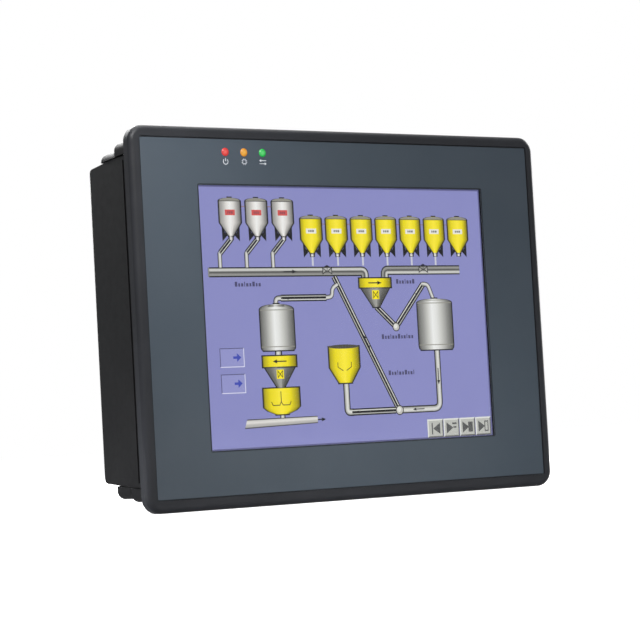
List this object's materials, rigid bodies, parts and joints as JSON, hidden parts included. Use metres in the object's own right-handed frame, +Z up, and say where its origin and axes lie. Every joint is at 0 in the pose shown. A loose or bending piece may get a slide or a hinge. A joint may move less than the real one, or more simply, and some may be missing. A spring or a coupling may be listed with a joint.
{
  "type": "hmi touch panel",
  "caption": "Panel-mount operator terminal: touch display in a sealed bezel, indicator lamps, stepped housing with ports underneath, and screw clamps that hold it in a cabinet cut-out.",
  "frame": {"origin": "centre of the plane that seats on the cabinet's panel", "axes": "+X right seen from the front, +Y into the cabinet, +Z up"},
  "size_m": [0.3022, 0.0677, 0.2282],
  "materials": {
    "amber_lens": "translucent amber",
    "bezel_plastic": "satin charcoal moulding with a fine grain",
    "black_steel": "blackened steel",
    "brass": "turned brass",
    "card_shell": "dark grey shell",
    "chip_plastic": "black epoxy",
    "circuit_board": "green solder resist",
    "display_panel": "lit liquid crystal picture",
    "foam": "black closed-cell foam",
    "green_lens": "translucent green",
    "green_plastic": "green terminal plastic",
    "grey_plastic": "grey moulding",
    "housing_plastic": "black moulding, finely grained",
    "label_foil": "blank satin foil",
    "overlay_film": "blue-grey printed polyester film, finely textured",
    "red_lens": "translucent red",
    "red_plastic": "red moulding",
    "ribbon_film": "amber flexible film",
    "seal_rubber": "black rubber",
    "steel": "bright steel",
    "touch_glass": "clear touch glass",
    "white_plastic": "white moulding",
    "zinc_plate": "zinc-plated sheet"
  },
  "bodies": {
    "root": {"front_bezel": "bezel_plastic", "front_overlay": "overlay_film", "touch_screen": "touch_glass", "touch_gasket": "foam", "lcd_frame": "zinc_plate", "lcd_cell": "display_panel", "backlight_tray": "white_plastic", "panel_seal": "seal_rubber", "red_lamp_lens": "red_lens", "amber_lamp_lens": "amber_lens", "green_lamp_lens": "green_lens", "lamp_board": "circuit_board", "main_housing": "housing_plastic", "rear_cover": "housing_plastic", "chassis_plate": "zinc_plate", "tie_posts": "steel", "main_board": "circuit_board", "board_chips": "chip_plastic", "board_standoffs": "brass", "io_board": "circuit_board", "inverter_board": "circuit_board", "display_ribbon": "ribbon_film", "chassis_screws": "steel", "cover_screws": "black_steel", "power_header": "green_plastic", "serial_port_25": "zinc_plate", "serial_port_9": "zinc_plate", "jack_posts": "steel", "card_slot": "chip_plastic", "service_tray": "housing_plastic", "coin_cell": "steel", "cell_holder": "chip_plastic", "dip_switch": "red_plastic", "reset_switch": "chip_plastic", "earth_stud": "brass", "earth_nut": "brass", "clamp_brackets": "zinc_plate", "rating_plate": "label_foil"},
    "power_plug": {"power_plug": "green_plastic"},
    "terminal_screw_1": {"terminal_screw_1": "steel"},
    "terminal_screw_2": {"terminal_screw_2": "steel"},
    "terminal_screw_3": {"terminal_screw_3": "steel"},
    "wire_cage_1": {"wire_cage_1": "brass"},
    "wire_cage_2": {"wire_cage_2": "brass"},
    "wire_cage_3": {"wire_cage_3": "brass"},
    "memory_card": {"memory_card": "card_shell"},
    "card_door": {"card_door": "housing_plastic"},
    "dip_slider_1": {"dip_slider_1": "white_plastic"},
    "dip_slider_2": {"dip_slider_2": "white_plastic"},
    "dip_slider_3": {"dip_slider_3": "white_plastic"},
    "dip_slider_4": {"dip_slider_4": "white_plastic"},
    "reset_button": {"reset_button": "grey_plastic"},
    "clamp_pad_1": {"clamp_pad_1": "brass"},
    "clamp_pad_2": {"clamp_pad_2": "brass"},
    "clamp_pad_3": {"clamp_pad_3": "brass"},
    "clamp_pad_4": {"clamp_pad_4": "brass"},
    "clamp_screw_1": {"clamp_screw_1": "steel"},
    "clamp_screw_2": {"clamp_screw_2": "steel"},
    "clamp_screw_3": {"clamp_screw_3": "steel"},
    "clamp_screw_4": {"clamp_screw_4": "steel"}
  },
  "joints": [
    {"name": "clamp_pad_1_slide", "type": "slide", "parent": "root", "child": "clamp_pad_1", "axis": [0, -1, 0], "range_m": [0, 0.00498]},
    {"name": "clamp_screw_1_turn", "type": "hinge", "parent": "clamp_pad_1", "child": "clamp_screw_1", "pos_m": [-0.09, 0.03, 0.11015], "axis": [0, -1, 0], "range_deg": [0, 3590]},
    {"name": "clamp_pad_2_slide", "type": "slide", "parent": "root", "child": "clamp_pad_2", "axis": [0, -1, 0], "range_m": [0, 0.00498]},
    {"name": "clamp_screw_2_turn", "type": "hinge", "parent": "clamp_pad_2", "child": "clamp_screw_2", "pos_m": [0.09, 0.03, 0.11015], "axis": [0, -1, 0], "range_deg": [0, 3590]},
    {"name": "clamp_pad_3_slide", "type": "slide", "parent": "root", "child": "clamp_pad_3", "axis": [0, -1, 0], "range_m": [0, 0.00498]},
    {"name": "clamp_screw_3_turn", "type": "hinge", "parent": "clamp_pad_3", "child": "clamp_screw_3", "pos_m": [-0.09, 0.03, -0.11015], "axis": [0, -1, 0], "range_deg": [0, 3590]},
    {"name": "clamp_pad_4_slide", "type": "slide", "parent": "root", "child": "clamp_pad_4", "axis": [0, -1, 0], "range_m": [0, 0.00498]},
    {"name": "clamp_screw_4_turn", "type": "hinge", "parent": "clamp_pad_4", "child": "clamp_screw_4", "pos_m": [0.09, 0.03, -0.11015], "axis": [0, -1, 0], "range_deg": [0, 3590]},
    {"name": "power_plug_pull", "type": "slide", "parent": "root", "child": "power_plug", "axis": [0, 0, -1], "range_m": [0, 0.012]},
    {"name": "terminal_screw_1_turn", "type": "hinge", "parent": "power_plug", "child": "terminal_screw_1", "pos_m": [-0.06008, 0.0493, -0.10087], "axis": [0, -1, 0], "range_deg": [0, 950]},
    {"name": "wire_cage_1_rise", "type": "slide", "parent": "power_plug", "child": "wire_cage_1", "axis": [0, 1, 0], "range_m": [0, 0.00118]},
    {"name": "terminal_screw_2_turn", "type": "hinge", "parent": "power_plug", "child": "terminal_screw_2", "pos_m": [-0.055, 0.0493, -0.10087], "axis": [0, -1, 0], "range_deg": [0, 950]},
    {"name": "wire_cage_2_rise", "type": "slide", "parent": "power_plug", "child": "wire_cage_2", "axis": [0, 1, 0], "range_m": [0, 0.00118]},
    {"name": "terminal_screw_3_turn", "type": "hinge", "parent": "power_plug", "child": "terminal_screw_3", "pos_m": [-0.04992, 0.0493, -0.10087], "axis": [0, -1, 0], "range_deg": [0, 950]},
    {"name": "wire_cage_3_rise", "type": "slide", "parent": "power_plug", "child": "wire_cage_3", "axis": [0, 1, 0], "range_m": [0, 0.00118]},
    {"name": "memory_card_pull", "type": "slide", "parent": "root", "child": "memory_card", "axis": [1, 0, 0], "range_m": [0, 0.03]},
    {"name": "card_door_swing", "type": "hinge", "parent": "root", "child": "card_door", "pos_m": [0.14259, 0.0534, -0.028], "axis": [0, 0, 1], "range_deg": [0, 95]},
    {"name": "reset_press", "type": "slide", "parent": "root", "child": "reset_button", "axis": [-1, 0, 0], "range_m": [0, 0.001], "stiffness_N_per_m": 600, "springref_m": -0.001},
    {"name": "dip_slider_1_slide", "type": "slide", "parent": "root", "child": "dip_slider_1", "axis": [0, 1, 0], "range_m": [0, 0.0018]},
    {"name": "dip_slider_2_slide", "type": "slide", "parent": "root", "child": "dip_slider_2", "axis": [0, 1, 0], "range_m": [0, 0.0018]},
    {"name": "dip_slider_3_slide", "type": "slide", "parent": "root", "child": "dip_slider_3", "axis": [0, 1, 0], "range_m": [0, 0.0018]},
    {"name": "dip_slider_4_slide", "type": "slide", "parent": "root", "child": "dip_slider_4", "axis": [0, 1, 0], "range_m": [0, 0.0018]}
  ],
  "couplings": [
    {"joint": "clamp_screw_1_turn", "follows": "clamp_pad_1_slide", "rad_per_m": 12566},
    {"joint": "clamp_screw_2_turn", "follows": "clamp_pad_2_slide", "rad_per_m": 12566},
    {"joint": "clamp_screw_3_turn", "follows": "clamp_pad_3_slide", "rad_per_m": 12566},
    {"joint": "clamp_screw_4_turn", "follows": "clamp_pad_4_slide", "rad_per_m": 12566},
    {"joint": "terminal_screw_1_turn", "follows": "wire_cage_1_rise", "rad_per_m": 13963},
    {"joint": "terminal_screw_2_turn", "follows": "wire_cage_2_rise", "rad_per_m": 13963},
    {"joint": "terminal_screw_3_turn", "follows": "wire_cage_3_rise", "rad_per_m": 13963}
  ]
}
